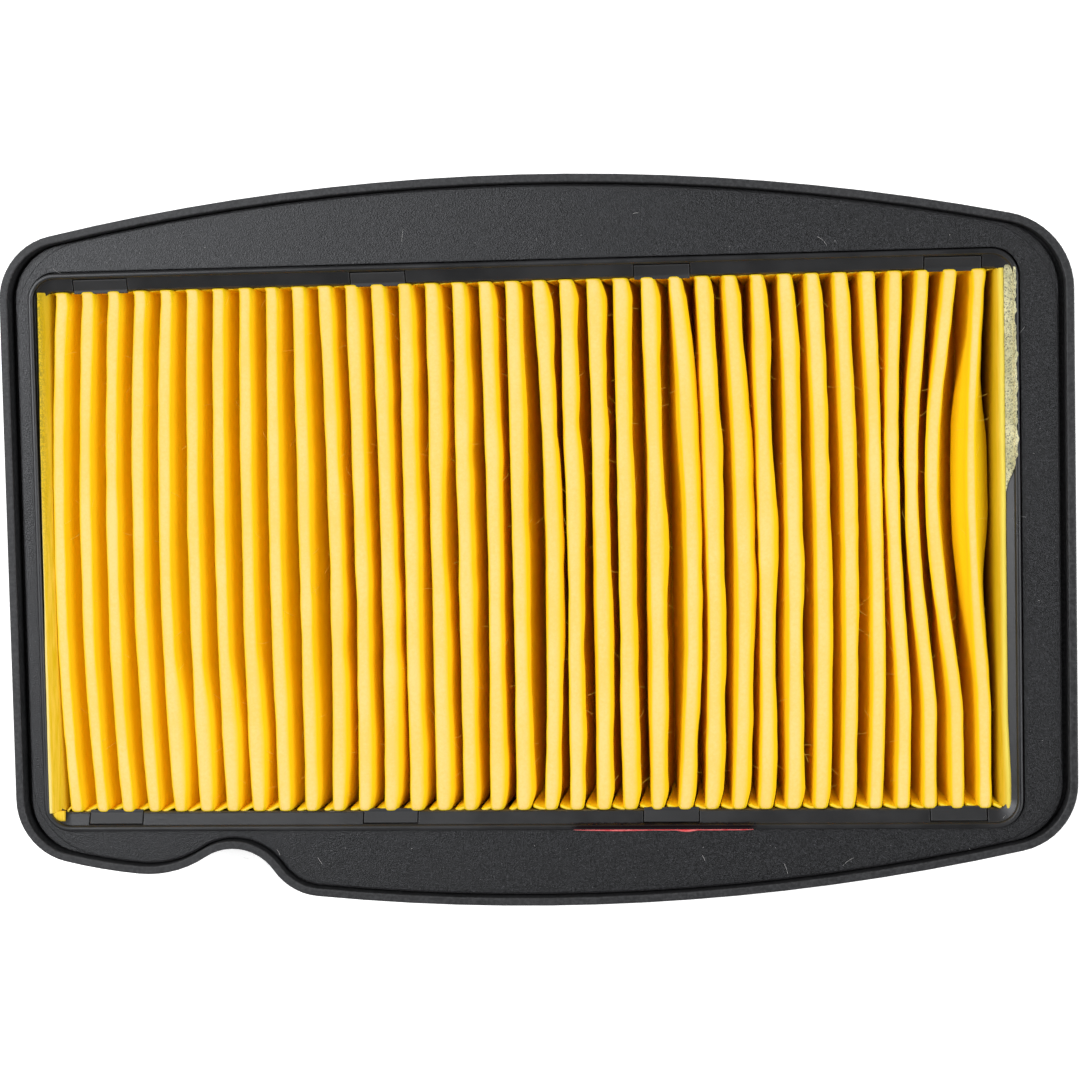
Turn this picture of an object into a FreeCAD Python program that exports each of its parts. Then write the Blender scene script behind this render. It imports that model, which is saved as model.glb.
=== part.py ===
"""Panel air filter for a motorcycle: flange, seal, bezel, tray and pleated media.

Millimetres. +X runs along the long side, +Y towards the side without the notch and +Z
towards the dirty side. The origin is under the middle of the outline, on the plane that
the tray stands on. The window and all that stands in it have a middle of their own,
(window_x, window_y), because the flange is wider on one side.
"""
import FreeCAD, Part
import os
import Sketcher
from math import atan2, cos, hypot, pi, sin, sqrt, tau

# Driving dimensions, which the spreadsheet holds.
SIZES = {
    # outline of the seal, seen from above
    "half_length": 97.85,
    "half_width": 66.8,
    "back_radius": 427.0,
    "front_radius": 414.0,
    "corner_back_left": 12.0,
    "corner_back_right": 14.0,
    "corner_front_right": 12.5,
    "corner_front_left": 12.0,
    # locating notch in the front edge, and the lobe beside it
    "lobe_radius": 100.0,
    "lobe_x": -65.1,
    "lobe_y": 38.8,
    "lobe_end_radius": 20.0,
    "notch_radius": 9.4,
    "notch_x": -56.9,
    "notch_y": -65.5,
    "notch_exit_radius": 11.0,
    # heights above the plane that the tray stands on
    "seal_bottom": 20.8,
    "plate_bottom": 23.8,
    "plate_top": 26.2,
    "rim_top": 28.0,
    # rubber seal
    "rim_width": 1.5,
    "leg_width": 2.4,
    "rim_round": 0.25,
    "lip_inset": 0.95,
    "lip_width": 0.6,
    "lip_depth": 0.5,
    # flange plate
    "groove_width": 0.35,
    "side_groove_extra": 0.75,
    "field_step": 0.15,
    "field_inset": 0.2,
    "field_corner_extra": 4.5,
    "seam_wide": 0.3,
    "seam_narrow": 0.04,
    # window bezel, about the window's own middle
    "window_x": -2.25,
    "window_y": -0.8,
    "bezel_half_x": 90.45,
    "bezel_half_y": 52.05,
    "bezel_corner": 5.0,
    "bead_width": 1.0,
    "bead_top": 27.4,
    "bead_round": 0.42,
    "ledge_half_x": 87.75,
    "ledge_half_y": 48.85,
    "ledge_corner": 2.0,
    "ledge_high": 26.4,
    "ledge_low": 25.6,
    "ledge_under": 24.6,
    "foot_width": 0.6,
    "foot_bottom": 22.3,
    # tray that carries the media
    "tray_half_x": 88.95,
    "tray_half_y": 50.15,
    "tray_corner": 3.4,
    "tray_wall": 1.2,
    "tray_fit": 0.05,
    "rest_width": 3.5,
    "grid_height": 2.0,
    "bar_width": 1.6,
    "bar_pitch_x": 16.0,
    "bar_pitch_y": 15.6,
    "bars_across": 11,
    "bars_along": 5,
    "clip_length": 10.0,
    "clip_width": 1.9,
    "clip_gap": 0.2,
    "clip_pitch": 52.0,
    "clip_first": -77.0,
    "clips_a_side": 4,
    # pleated media
    "pleat_pitch": 4.9,
    "pleat_count": 35,
    "sheet_thickness": 1.1,
    "fold_gap": 0.1,
    "pleat_top": 26.2,
    "flap_top": 24.5,
    "flap_gap": 0.15,
    "end_strip_thickness": 0.8,
    "end_strip_top": 25.2,
    "end_strip_half_x": 87.0,
    "glue_end": 0.55,
    "glue_half_x": 85.5,
    # squeezed-out adhesive on the ledge, and the inspection mark beside the bead
    "squeeze_low": 18.0,
    "squeeze_high": 46.5,
    "squeeze_height": 0.5,
    "mark_start": 9.0,
    "mark_length": 33.0,
    "mark_width": 0.3,
    "mark_height": 0.35,
}

doc = FreeCAD.newDocument("air_filter")
sheet = doc.addObject("Spreadsheet::Sheet", "dims")
pieces = []


def fill_sheet():
    """One row for each driving dimension: its name, its value and its alias."""
    for row, (alias, value) in enumerate(SIZES.items(), start=1):
        sheet.set(f"A{row}", alias)
        sheet.set(f"B{row}", str(value))
        sheet.setAlias(f"B{row}", alias)
    doc.recompute()


def size(alias):
    """The value of a driving dimension, read from the sheet."""
    return float(sheet.get(alias))


def cells(text):
    """An expression in which each word that is an alias names its cell."""
    return " ".join(f"dims.{word}" if word in SIZES else word for word in text.split())


def amount(text):
    """The number that an expression of aliases, numbers, + and - stands for."""
    total, sign = 0.0, 1
    for word in text.split():
        if word in "+-":
            sign = 1 if word == "+" else -1
        else:
            total += sign * (size(word) if word in SIZES else float(word))
    return total


# ---- documents, bodies and sketches --------------------------------------------------

def new_body(name):
    """A PartDesign body that is one piece of the filter."""
    body = doc.addObject("PartDesign::Body", name)
    body.Label = name
    pieces.append(body)
    return body


def at_window(piece):
    """Put a piece's origin at the window's middle."""
    piece.setExpression("Placement.Base.x", "dims.window_x")
    piece.setExpression("Placement.Base.y", "dims.window_y")


def new_sketch(body, name, height="0", plane="XY_Plane"):
    """A sketch on one of the body's own planes, lifted by height along its normal."""
    sketch = body.newObject("Sketcher::SketchObject", name)
    support = next(f for f in body.Origin.OriginFeatures if f.Role == plane)
    sketch.AttachmentSupport = [(support, "")]
    sketch.MapMode = "FlatFace"
    sketch.setExpression("AttachmentOffset.Base.z", cells(height))
    return sketch


def hold(sketch, kind, *where, to):
    """A dimension in a sketch, driven by an expression of aliases."""
    index = sketch.addConstraint(Sketcher.Constraint(kind, *where, amount(to)))
    sketch.setExpression(f"Constraints[{index}]", cells(to))


def pad(body, sketch, length, both_ways=False):
    """Add material on a sketch, up from its plane or to both sides of it."""
    feature = body.newObject("PartDesign::Pad", sketch.Name + "_pad")
    feature.Profile = sketch
    feature.Length = amount(length)
    feature.setExpression("Length", cells(length))
    if both_ways:
        feature.SideType = "Symmetric"
    doc.recompute()
    return feature


def pocket(body, sketch, length, upwards=False):
    """Cut a sketch down into the solid, or up into it, and check that it cuts."""
    before = body.Shape.Volume
    feature = body.newObject("PartDesign::Pocket", sketch.Name + "_pocket")
    feature.Profile = sketch
    feature.Length = amount(length)
    feature.setExpression("Length", cells(length))
    feature.Reversed = upwards
    doc.recompute()
    if body.Shape.Volume > before - 0.01:
        raise RuntimeError(f"{feature.Name} cuts nothing")
    return feature


def repeat(body, feature, axis, pitch, count):
    """Repeat a feature along one of the body's own axes."""
    pattern = body.newObject("PartDesign::LinearPattern", feature.Name + "_row")
    line = next(f for f in body.Origin.OriginFeatures if f.Role == axis)
    pattern.Originals = [feature]
    pattern.Direction = (line, [""])
    pattern.Mode = "Spacing"
    pattern.Offset = size(pitch)
    pattern.setExpression("Offset", cells(pitch))
    pattern.Occurrences = int(size(count))
    pattern.setExpression("Occurrences", cells(count))
    body.Tip = pattern
    doc.recompute()
    return pattern


def round_edges(body, height, radius):
    """Round every edge that lies in the horizontal plane at a height."""
    base, level = body.Tip, amount(height)
    edges = [
        f"Edge{number}"
        for number, edge in enumerate(base.Shape.Edges, start=1)
        if abs(edge.BoundBox.ZMin - level) < 1e-5 and abs(edge.BoundBox.ZMax - level) < 1e-5
    ]
    feature = body.newObject("PartDesign::Fillet", f"{body.Name}_round_{radius}")
    feature.Base = (base, edges)
    feature.Radius = size(radius)
    feature.setExpression("Radius", cells(radius))
    doc.recompute()
    return feature


# ---- the outline: a ring of arcs that touch one another, with two straight sides -----

def above(x, centre, radius):
    """The point at x on the upper half of a circle."""
    return x, centre[1] + sqrt(radius ** 2 - (x - centre[0]) ** 2)


def below(x, centre, radius):
    """The point at x on the lower half of a circle."""
    return x, centre[1] - sqrt(radius ** 2 - (x - centre[0]) ** 2)


def crossings(centre_a, radius_a, centre_b, radius_b):
    """The two points where a pair of circles cross, the one at the lower x first."""
    dx, dy = centre_b[0] - centre_a[0], centre_b[1] - centre_a[1]
    gap = hypot(dx, dy)
    along = (radius_a ** 2 - radius_b ** 2 + gap ** 2) / (2 * gap)
    aside = sqrt(radius_a ** 2 - along ** 2)
    foot = centre_a[0] + along * dx / gap, centre_a[1] + along * dy / gap
    return sorted((foot[0] - s * aside * dy / gap, foot[1] + s * aside * dx / gap)
                  for s in (1, -1))


def touch(arc_a, arc_b):
    """The point where two arcs touch, from outside or from inside."""
    (ax, ay), radius_a, outward_a = arc_a
    (bx, by), radius_b, outward_b = arc_b
    reach = radius_a if outward_a != outward_b or radius_a > radius_b else -radius_a
    gap = hypot(bx - ax, by - ay)
    return ax + reach * (bx - ax) / gap, ay + reach * (by - ay) / gap


def outline_arcs(inset, side, corner):
    """The outline's arcs, anticlockwise from the front left corner, moved in by inset.

    Each is a centre, a radius and whether it bulges outwards; only the notch doesn't.
    side moves the straight sides in further, and corner makes the corners rounder.
    """
    edge = size("half_length") - inset - side
    corners = {name: size("corner_" + name) - inset + corner
               for name in ("front_left", "front_right", "back_right", "back_left")}
    middle = size("window_x")
    back = (middle, size("half_width") - size("back_radius")), size("back_radius") - inset
    front = (middle, size("front_radius") - size("half_width")), size("front_radius") - inset
    lobe = (size("lobe_x"), size("lobe_y")), size("lobe_radius") - inset
    notch = (size("notch_x"), size("notch_y")), size("notch_radius") + inset
    lobe_end = size("lobe_end_radius") - inset
    way_out = size("notch_exit_radius") - inset

    def corner_arc(name, sign, big, half):
        radius = corners[name]
        return half(sign * (edge - radius), big[0], big[1] - radius), radius, True

    def notch_side(big, radius, side_of_notch):
        centres = crossings(big[0], big[1] - radius, notch[0], notch[1] + radius)
        return centres[side_of_notch], radius, True

    return edge, [
        corner_arc("front_left", -1, lobe, below),
        (*lobe, True),
        notch_side(lobe, lobe_end, 0),
        (*notch, False),
        notch_side(front, way_out, 1),
        (*front, True),
        corner_arc("front_right", 1, front, below),
        corner_arc("back_right", 1, back, above),
        (*back, True),
        corner_arc("back_left", -1, back, above),
    ]


ARC_SIZES = ["corner_front_left", "lobe_radius", "lobe_end_radius", "notch_radius",
             "notch_exit_radius", "front_radius", "corner_front_right",
             "corner_back_right", "back_radius", "corner_back_left"]
FRONT_RIGHT, BACK_LEFT = 6, 9


def draw_arc(sketch, centre, radius, start, end, outward):
    """An arc from start to end, anticlockwise if it bulges outwards."""
    first = atan2(start[1] - centre[1], start[0] - centre[0])
    last = atan2(end[1] - centre[1], end[0] - centre[0])
    if not outward:
        first, last = last, first
    circle = Part.Circle(FreeCAD.Vector(*centre, 0), FreeCAD.Vector(0, 0, 1), radius)
    return sketch.addGeometry(Part.ArcOfCircle(circle, first, last + (tau if last < first else 0)))


def draw_line(sketch, start, end):
    """A straight edge of a sketch."""
    return sketch.addGeometry(Part.LineSegment(FreeCAD.Vector(*start, 0), FreeCAD.Vector(*end, 0)))


def draw_outline(sketch, inset="0", side="0", corner="0"):
    """The filter's outline, moved in by inset, with its radii driven by the sheet."""
    edge, arcs = outline_arcs(amount(inset), amount(side), amount(corner))
    joints = [touch(arcs[i - 1], arc) for i, arc in enumerate(arcs)]
    starts = joints[:FRONT_RIGHT + 1] + [(edge, arcs[FRONT_RIGHT + 1][0][1])]
    starts += joints[FRONT_RIGHT + 2:]
    starts[0] = (-edge, arcs[0][0][1])
    ends = starts[1:] + [(-edge, arcs[BACK_LEFT][0][1])]
    ends[FRONT_RIGHT] = (edge, arcs[FRONT_RIGHT][0][1])
    chain = []
    for number, (centre, radius, outward) in enumerate(arcs):
        index = draw_arc(sketch, centre, radius, starts[number], ends[number], outward)
        chain.append((index, 1, 2) if outward else (index, 2, 1))
        grow = corner if ARC_SIZES[number].startswith("corner") else "0"
        sign = "-" if outward else "+"
        moved = f" {sign} ".join([ARC_SIZES[number]] + inset.split(" + "))
        hold(sketch, "Radius", index, to=f"{moved} + {grow}")
        if number == FRONT_RIGHT:
            line = draw_line(sketch, ends[number], starts[number + 1])
            chain.append((line, 1, 2))
    line = draw_line(sketch, ends[-1], starts[0])
    chain.append((line, 1, 2))
    for (one, _, tail), (other, head, _) in zip(chain, chain[1:] + chain[:1]):
        sketch.addConstraint(Sketcher.Constraint("Coincident", one, tail, other, head))


def draw_rounded_box(sketch, left, right, front, back, corner):
    """A rectangle with round corners; each side is an expression, measured from the origin."""
    x0, x1, y0, y1 = -amount(left), amount(right), -amount(front), amount(back)
    radius = amount(corner)
    centres = [(x1 - radius, y0 + radius), (x1 - radius, y1 - radius),
               (x0 + radius, y1 - radius), (x0 + radius, y0 + radius)]
    chain = []
    for quarter, centre in enumerate(centres):
        angle = (quarter - 1) * pi / 2
        ray = [(cos(angle + turn), sin(angle + turn)) for turn in (0, pi / 2)]
        start, end = [(centre[0] + radius * c, centre[1] + radius * s) for c, s in ray]
        after = centres[(quarter + 1) % 4]
        arc = draw_arc(sketch, centre, radius, start, end, True)
        line = draw_line(sketch, end, (after[0] + radius * ray[1][0], after[1] + radius * ray[1][1]))
        chain += [arc, line]
        hold(sketch, "Radius", arc, to=corner)
    for one, other in zip(chain, chain[1:] + chain[:1]):
        sketch.addConstraint(Sketcher.Constraint("Tangent", one, 2, other, 1))
    right_side, back_side, left_side, front_side = chain[1::2]
    hold(sketch, "DistanceX", -1, 1, right_side, 1, to=right)
    hold(sketch, "DistanceY", -1, 1, back_side, 1, to=back)
    hold(sketch, "DistanceX", left_side, 1, -1, 1, to=left)
    hold(sketch, "DistanceY", front_side, 1, -1, 1, to=front)


def draw_centred_box(sketch, half_x, half_y, corner):
    """A rectangle with round corners about the origin."""
    draw_rounded_box(sketch, half_x, half_x, half_y, half_y, corner)


def draw_polygon(sketch, points):
    """A closed run of straight edges."""
    chain = [draw_line(sketch, a, b) for a, b in zip(points, points[1:] + points[:1])]
    for one, other in zip(chain, chain[1:] + chain[:1]):
        sketch.addConstraint(Sketcher.Constraint("Coincident", one, 2, other, 1))


# ---- the pieces ----------------------------------------------------------------------

def draw_window(sketch):
    """The plate's window: tight to the bezel in front and left, with a seam elsewhere."""
    draw_rounded_box(
        sketch,
        left="bezel_half_x + seam_narrow - window_x",
        right="bezel_half_x + seam_wide + window_x",
        front="bezel_half_y + seam_narrow - window_y",
        back="bezel_half_y + seam_wide + window_y",
        corner="bezel_corner",
    )


def make_flange_plate():
    """Flat frame between seal and bezel, with a field raised by a hair inside its corners."""
    body = new_body("flange_plate")
    edge = "rim_width + groove_width"
    base = new_sketch(body, "plate_outline", "plate_bottom")
    draw_outline(base, edge, "side_groove_extra")
    draw_window(base)
    pad(body, base, "plate_top - plate_bottom - field_step")
    field = new_sketch(body, "field_outline", "plate_top - field_step")
    draw_outline(field, edge + " + field_inset", "side_groove_extra", "field_corner_extra")
    draw_window(field)
    pad(body, field, "field_step")


def make_perimeter_seal():
    """Rubber strip round the plate: a rim that stands above it and a leg beneath it."""
    body = new_body("perimeter_seal")
    rim = new_sketch(body, "rim_ring", "seal_bottom")
    draw_outline(rim)
    draw_outline(rim, "rim_width")
    pad(body, rim, "rim_top - seal_bottom")
    leg = new_sketch(body, "leg_ring", "seal_bottom")
    draw_outline(leg, "rim_round")
    draw_outline(leg, "leg_width")
    pad(body, leg, "plate_bottom - seal_bottom")
    lip = new_sketch(body, "lip_ring", "seal_bottom")
    draw_outline(lip, "lip_inset")
    draw_outline(lip, "lip_inset + lip_width")
    pocket(body, lip, "lip_depth", upwards=True)
    round_edges(body, "rim_top", "rim_round")


def draw_ledge_mouth(sketch):
    """The upper edge of the ledge's slope, along the foot of the bead."""
    draw_centred_box(sketch, "bezel_half_x - bead_width", "bezel_half_y - bead_width",
                     "bezel_corner - bead_width")


def draw_ledge_edge(sketch):
    """The lower edge of the ledge's slope, where the media shows."""
    draw_centred_box(sketch, "ledge_half_x", "ledge_half_y", "ledge_corner")


def slope_ledge(body, name):
    """Cut the slope that falls from the bead to the media."""
    low = new_sketch(body, name + "_slope_low", "ledge_low")
    draw_ledge_edge(low)
    high = new_sketch(body, name + "_slope_high", "ledge_high")
    draw_ledge_mouth(high)
    doc.recompute()
    before = body.Shape.Volume
    loft = body.newObject("PartDesign::SubtractiveLoft", name + "_slope")
    loft.Profile = low
    loft.Sections = [high]
    doc.recompute()
    if body.Shape.Volume > before - 0.01:
        raise RuntimeError(f"{loft.Name} cuts nothing")


def clip_corners(gap):
    """The rectangle of each clip on the ledge, grown by a gap on its three closed sides."""
    first, pitch, length = size("clip_first"), size("clip_pitch"), size("clip_length")
    inner, depth = size("ledge_half_y") - 0.5 * size("tray_wall"), size("clip_width")
    for side in (-1, 1):
        for number in range(int(size("clips_a_side"))):
            start = first + number * pitch - length / 2
            yield [(start - gap, side * inner),
                   (start + length + gap, side * inner),
                   (start + length + gap, side * (size("ledge_half_y") + depth + gap)),
                   (start - gap, side * (size("ledge_half_y") + depth + gap))]


def make_window_bezel():
    """Ring in the plate's window: round bead, sloping ledge, leg and foot."""
    body = new_body("window_bezel")
    inner = ("tray_half_x + tray_fit", "tray_half_y + tray_fit", "tray_corner + tray_fit")
    foot = new_sketch(body, "foot_ring", "foot_bottom")
    draw_centred_box(foot, "bezel_half_x + foot_width", "bezel_half_y + foot_width",
                     "bezel_corner + foot_width")
    draw_centred_box(foot, *inner)
    pad(body, foot, "plate_bottom - foot_bottom")
    leg = new_sketch(body, "leg_wall", "foot_bottom")
    draw_centred_box(leg, "bezel_half_x", "bezel_half_y", "bezel_corner")
    draw_centred_box(leg, *inner)
    pad(body, leg, "ledge_under - foot_bottom")
    ledge = new_sketch(body, "ledge_ring", "ledge_under")
    draw_centred_box(ledge, "bezel_half_x", "bezel_half_y", "bezel_corner")
    draw_ledge_edge(ledge)
    pad(body, ledge, "ledge_high - ledge_under")
    slope_ledge(body, "bezel")
    bead = new_sketch(body, "bead_ring", "ledge_high")
    draw_centred_box(bead, "bezel_half_x", "bezel_half_y", "bezel_corner")
    draw_ledge_mouth(bead)
    pad(body, bead, "bead_top - ledge_high")
    slots = new_sketch(body, "clip_slots", "ledge_high")
    for corners in clip_corners(size("clip_gap")):
        draw_polygon(slots, corners)
    pocket(body, slots, "ledge_high - ledge_under")
    round_edges(body, "bead_top", "bead_round")
    at_window(body)


def make_element_tray():
    """Tray that holds the media: walls, rest, clean-side grid and the clips."""
    body = new_body("element_tray")
    outer = ("tray_half_x", "tray_half_y", "tray_corner")
    walls = new_sketch(body, "tray_walls")
    draw_centred_box(walls, *outer)
    draw_centred_box(walls, "tray_half_x - tray_wall", "tray_half_y - tray_wall",
                     "tray_corner - tray_wall")
    pad(body, walls, "ledge_under")
    clips = new_sketch(body, "clips", "ledge_under")
    for corners in clip_corners(0.0):
        draw_polygon(clips, corners)
    pad(body, clips, "ledge_high - ledge_under")
    slope_ledge(body, "clips")
    rest = new_sketch(body, "media_rest")
    draw_centred_box(rest, "tray_half_x - tray_wall", "tray_half_y - tray_wall",
                     "tray_corner - tray_wall")
    draw_centred_box(rest, "tray_half_x - tray_wall - rest_width",
                     "tray_half_y - tray_wall - rest_width", "ledge_corner")
    pad(body, rest, "grid_height")
    reach_x = size("tray_half_x") - size("tray_wall") - 0.5 * size("rest_width")
    reach_y = size("tray_half_y") - size("tray_wall") - 0.5 * size("rest_width")
    half_bar = size("bar_width") / 2
    start = -size("bar_pitch_x") * (size("bars_across") - 1) / 2
    across = new_sketch(body, "bar_across")
    draw_polygon(across, [(start - half_bar, -reach_y), (start + half_bar, -reach_y),
                          (start + half_bar, reach_y), (start - half_bar, reach_y)])
    repeat(body, pad(body, across, "grid_height"), "X_Axis", "bar_pitch_x", "bars_across")
    start = -size("bar_pitch_y") * (size("bars_along") - 1) / 2
    along = new_sketch(body, "bar_along")
    draw_polygon(along, [(-reach_x, start - half_bar), (reach_x, start - half_bar),
                         (reach_x, start + half_bar), (-reach_x, start + half_bar)])
    repeat(body, pad(body, along, "grid_height"), "Y_Axis", "bar_pitch_y", "bars_along")
    at_window(body)


def pleat_section():
    """Arcs of one pleat's section, in X and Z, from valley to valley over its ridge.

    A wall leans, so that the two plies of a ridge, and of a valley, all but close.
    """
    thick, gap, pitch = size("sheet_thickness"), size("fold_gap"), size("pleat_pitch")
    ridge = (0.0, size("pleat_top") - thick - gap)
    valley = (pitch / 2, size("grid_height") + thick + gap)
    span = hypot(valley[0] - ridge[0], valley[1] - ridge[1])
    lean = atan2(ridge[1] - valley[1], valley[0] - ridge[0])
    tilt = lean - pi / 2 + 2 * atan2(thick / 2 + gap, span / 2)
    return ridge, valley, tilt


def draw_pleat(sketch):
    """One pleat's closed section: two half valleys, two walls and the ridge."""
    ridge, valley, tilt = pleat_section()
    thick, gap = size("sheet_thickness"), size("fold_gap")
    outer, inner = thick + gap, gap
    nx, nz = cos(tilt), sin(tilt)
    other = -valley[0], valley[1]

    def at(centre, radius, x, z):
        return centre[0] + radius * x, centre[1] + radius * z

    start = valley[0], valley[1] - inner
    foot_top = at(valley, inner, -nx, -nz)
    crest_right = at(ridge, outer, nx, nz)
    crest_left = at(ridge, outer, -nx, nz)
    foot_top_left = at(other, inner, nx, -nz)
    start_left = other[0], other[1] - inner
    base_left = other[0], other[1] - outer
    foot_left = at(other, outer, nx, -nz)
    hollow_left = at(ridge, inner, -nx, nz)
    hollow_right = at(ridge, inner, nx, nz)
    foot = at(valley, outer, -nx, -nz)
    base = valley[0], valley[1] - outer
    chain = [
        (draw_arc(sketch, valley, inner, start, foot_top, False), 2, 1),
        (draw_line(sketch, foot_top, crest_right), 1, 2),
        (draw_arc(sketch, ridge, outer, crest_right, crest_left, True), 1, 2),
        (draw_line(sketch, crest_left, foot_top_left), 1, 2),
        (draw_arc(sketch, other, inner, foot_top_left, start_left, False), 2, 1),
        (draw_line(sketch, start_left, base_left), 1, 2),
        (draw_arc(sketch, other, outer, base_left, foot_left, True), 1, 2),
        (draw_line(sketch, foot_left, hollow_left), 1, 2),
        (draw_arc(sketch, ridge, inner, hollow_left, hollow_right, False), 2, 1),
        (draw_line(sketch, hollow_right, foot), 1, 2),
        (draw_arc(sketch, valley, outer, foot, base, True), 1, 2),
        (draw_line(sketch, base, start), 1, 2),
    ]
    for (one, _, tail), (after, head, _) in zip(chain, chain[1:] + chain[:1]):
        sketch.addConstraint(Sketcher.Constraint("Coincident", one, tail, after, head))


def make_pleated_media():
    """One folded sheet of filter felt, with a flap up each end wall of the tray."""
    body = new_body("pleated_media")
    length = "ledge_half_y + ledge_half_y - glue_end - glue_end"
    length += " - end_strip_thickness - end_strip_thickness"
    pleat = new_sketch(body, "pleat", plane="XZ_Plane")
    draw_pleat(pleat)
    first = -size("pleat_pitch") * (size("pleat_count") - 1) / 2
    pleat.AttachmentOffset = FreeCAD.Placement(FreeCAD.Vector(first, 0, 0), FreeCAD.Rotation())
    row = pad(body, pleat, length, both_ways=True)
    repeat(body, row, "X_Axis", "pleat_pitch", "pleat_count")
    floor, thick = size("grid_height"), size("sheet_thickness")
    last_valley = size("pleat_pitch") * size("pleat_count") / 2
    wall = size("tray_half_x") - size("tray_wall") - size("flap_gap")
    for side, name in ((-1, "left_flap"), (1, "right_flap")):
        flap = new_sketch(body, name, plane="XZ_Plane")
        draw_polygon(flap, [(side * last_valley, floor), (side * wall, floor),
                            (side * wall, size("flap_top")),
                            (side * (wall - thick), size("flap_top")),
                            (side * (wall - thick), floor + thick),
                            (side * last_valley, floor + thick)])
        pad(body, flap, length, both_ways=True)
    at_window(body)


def make_bar(name, x_range, y_range, z_range):
    """A plain bar between three pairs of expressions, about the window's middle."""
    bar = doc.addObject("Part::Box", name)
    bar.Label = name
    for side, (low, high) in zip(("Length", "Width", "Height"), (x_range, y_range, z_range)):
        bar.setExpression(side, f"({cells(high)}) - ({cells(low)})")
    bar.setExpression("Placement.Base.x", f"dims.window_x + {cells(x_range[0])}")
    bar.setExpression("Placement.Base.y", f"dims.window_y + {cells(y_range[0])}")
    bar.setExpression("Placement.Base.z", cells(z_range[0]))
    pieces.append(bar)


def make_end_strips():
    """Strips of felt that close the pleats' ends, front and rear."""
    inner = "ledge_half_y - glue_end - end_strip_thickness"
    outer = "ledge_half_y - glue_end"
    across = ("0 - end_strip_half_x", "end_strip_half_x")
    upright = ("grid_height", "end_strip_top")
    make_bar("end_strip_rear", across, (inner, outer), upright)
    make_bar("end_strip_front", across, ("0 - ledge_half_y + glue_end",
             "0 - ledge_half_y + glue_end + end_strip_thickness"), upright)


def make_adhesive():
    """Beads of adhesive between the end strips and the tray's long walls."""
    across = ("0 - glue_half_x", "glue_half_x")
    upright = ("grid_height", "ledge_under")
    make_bar("adhesive_rear", across, ("ledge_half_y - glue_end", "tray_half_y - tray_wall"),
             upright)
    make_bar("adhesive_front", across, ("0 - tray_half_y + tray_wall",
             "0 - ledge_half_y + glue_end"), upright)


def make_squeeze_out():
    """Foamy adhesive that came out over the ledge beside the right-hand flap."""
    body = new_body("adhesive_squeeze_out")
    ribbon = new_sketch(body, "squeeze_section", "0 - squeeze_high", plane="XZ_Plane")
    inner, outer = size("ledge_half_x"), size("bezel_half_x") - size("bead_width")
    low, high, rise = size("ledge_low"), size("ledge_high"), size("squeeze_height")
    draw_polygon(ribbon, [(inner, low), (outer, high), (outer, high + rise / 2),
                          (inner, low + rise)])
    pad(body, ribbon, "squeeze_high - squeeze_low")
    at_window(body)


def make_inspection_mark():
    """Line of paint along the foot of the front bead."""
    make_bar("inspection_mark", ("mark_start", "mark_start + mark_length"),
             ("0 - bezel_half_y - mark_width", "0 - bezel_half_y"),
             ("plate_top", "plate_top + mark_height"))


def check_document():
    """Stop if any object of the document failed or any piece is not a sound solid."""
    doc.recompute()
    for item in doc.Objects:
        if "Invalid" in item.State or "Error" in item.State:
            raise RuntimeError(f"{item.Name}: {item.State}")
    for piece in pieces:
        shape = piece.Shape
        if shape.isNull() or not shape.isValid() or len(shape.Solids) != 1:
            raise RuntimeError(f"{piece.Label} is not one valid solid")


def write_pieces():
    """Write each piece to a STEP file of its own."""
    os.makedirs("parts", exist_ok=True)
    for piece in pieces:
        box = piece.Shape.BoundBox
        piece.Shape.exportStep(f"parts/{piece.Label}.step")
        print(f"{piece.Label:22s} {piece.Shape.Volume / 1000:8.2f} cm3 "
              f"x {box.XMin:7.2f} {box.XMax:7.2f}  y {box.YMin:7.2f} {box.YMax:7.2f}  "
              f"z {box.ZMin:6.2f} {box.ZMax:6.2f}")


fill_sheet()
make_flange_plate()
make_perimeter_seal()
make_window_bezel()
make_element_tray()
make_pleated_media()
make_end_strips()
make_adhesive()
make_squeeze_out()
make_inspection_mark()
check_document()
write_pieces()
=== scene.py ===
import math

import bpy
from mathutils import Matrix, Vector, noise


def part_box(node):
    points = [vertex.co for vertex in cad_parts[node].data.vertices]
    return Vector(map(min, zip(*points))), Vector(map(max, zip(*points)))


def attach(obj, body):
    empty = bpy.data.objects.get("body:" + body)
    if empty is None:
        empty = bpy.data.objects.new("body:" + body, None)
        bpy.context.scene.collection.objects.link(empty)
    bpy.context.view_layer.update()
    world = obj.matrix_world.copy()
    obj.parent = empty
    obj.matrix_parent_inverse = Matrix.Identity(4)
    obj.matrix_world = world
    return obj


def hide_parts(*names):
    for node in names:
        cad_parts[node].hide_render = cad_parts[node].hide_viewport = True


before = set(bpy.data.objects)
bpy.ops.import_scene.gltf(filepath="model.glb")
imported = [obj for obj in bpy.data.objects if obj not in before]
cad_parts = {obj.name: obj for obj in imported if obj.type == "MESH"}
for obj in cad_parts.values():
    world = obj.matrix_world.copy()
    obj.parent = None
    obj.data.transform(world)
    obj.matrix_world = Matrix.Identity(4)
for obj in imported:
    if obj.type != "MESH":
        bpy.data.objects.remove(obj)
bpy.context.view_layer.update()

MM = 0.001

# The window's middle and the top of its bead are the origin of the window frame,
# in millimetres, that the functions below work in. Heights in it are from the ground.
bezel_low, bezel_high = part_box("window_bezel")
WINDOW_X = (bezel_low.x + bezel_high.x) / 2
WINDOW_Y = (bezel_low.y + bezel_high.y) / 2
BEAD_TOP = bezel_high.z

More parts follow.
